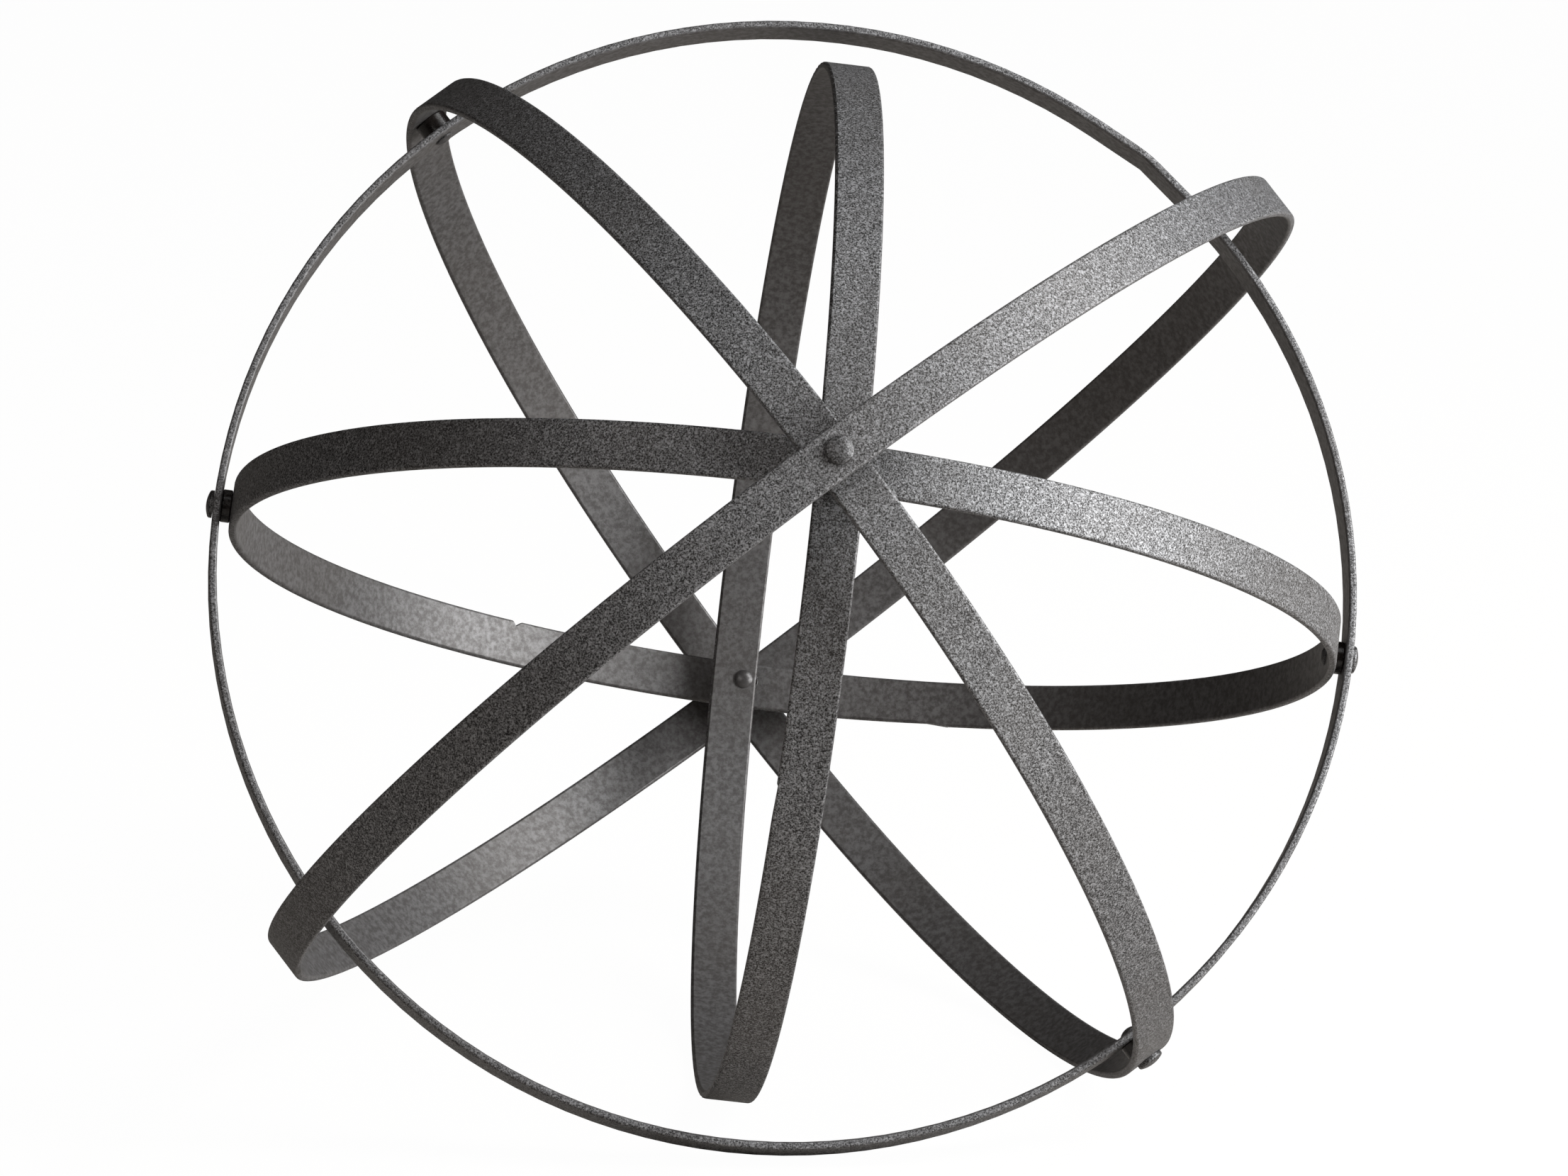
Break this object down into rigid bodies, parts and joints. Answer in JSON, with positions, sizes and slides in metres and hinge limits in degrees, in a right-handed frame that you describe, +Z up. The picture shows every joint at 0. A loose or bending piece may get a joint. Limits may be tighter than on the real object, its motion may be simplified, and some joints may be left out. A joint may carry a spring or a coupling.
{
  "type": "strap armillary sphere",
  "caption": "Open decorative armillary sphere of nested flat metal strap rings riveted together at two poles and around an equator band, resting freely on its ring edges.",
  "frame": {"origin": "common centre of all the rings, which is also the centre of the part's bounding box", "axes": "+Z up with the sphere at rest on its ring edges; -Y towards the viewer, so the front pole leans up and towards -Y, and +X to the viewer's right"},
  "size_m": [0.4644, 0.4758, 0.4182],
  "materials": {
    "powder_coat": "fine-textured graphite powder coat with a faint metallic sparkle",
    "rivet_coat": "graphite powder coat, a little smoother on the domed heads",
    "spacer_black": "glossy black"
  },
  "bodies": {
    "frame": {"cross_ring": "powder_coat", "belt_ring": "powder_coat", "diagonal_ring": "powder_coat", "front_pole_rivet": "rivet_coat", "back_pole_rivet": "rivet_coat", "left_belt_rivet": "rivet_coat", "right_belt_rivet": "rivet_coat", "upper_belt_rivet": "rivet_coat", "lower_belt_rivet": "rivet_coat", "front_pole_spacer_inner": "spacer_black", "front_pole_spacer_middle": "spacer_black", "front_pole_spacer_outer": "spacer_black", "back_pole_spacer_inner": "spacer_black", "back_pole_spacer_middle": "spacer_black", "back_pole_spacer_outer": "spacer_black", "left_belt_spacer": "spacer_black", "right_belt_spacer": "spacer_black", "upper_belt_spacer": "spacer_black", "lower_belt_spacer": "spacer_black"},
    "inner_ring_turn": {"inner_ring": "powder_coat"},
    "outer_ring_turn": {"outer_ring": "powder_coat"}
  },
  "joints": [
    {"name": "inner_ring_pivot", "type": "hinge", "parent": "frame", "child": "inner_ring_turn", "pos_m": [0, 0, 0], "axis": [0.0807, -0.8829, 0.4627], "continuous": true},
    {"name": "outer_ring_pivot", "type": "hinge", "parent": "frame", "child": "outer_ring_turn", "pos_m": [0, 0, 0], "axis": [0.0807, -0.8829, 0.4627], "continuous": true}
  ]
}
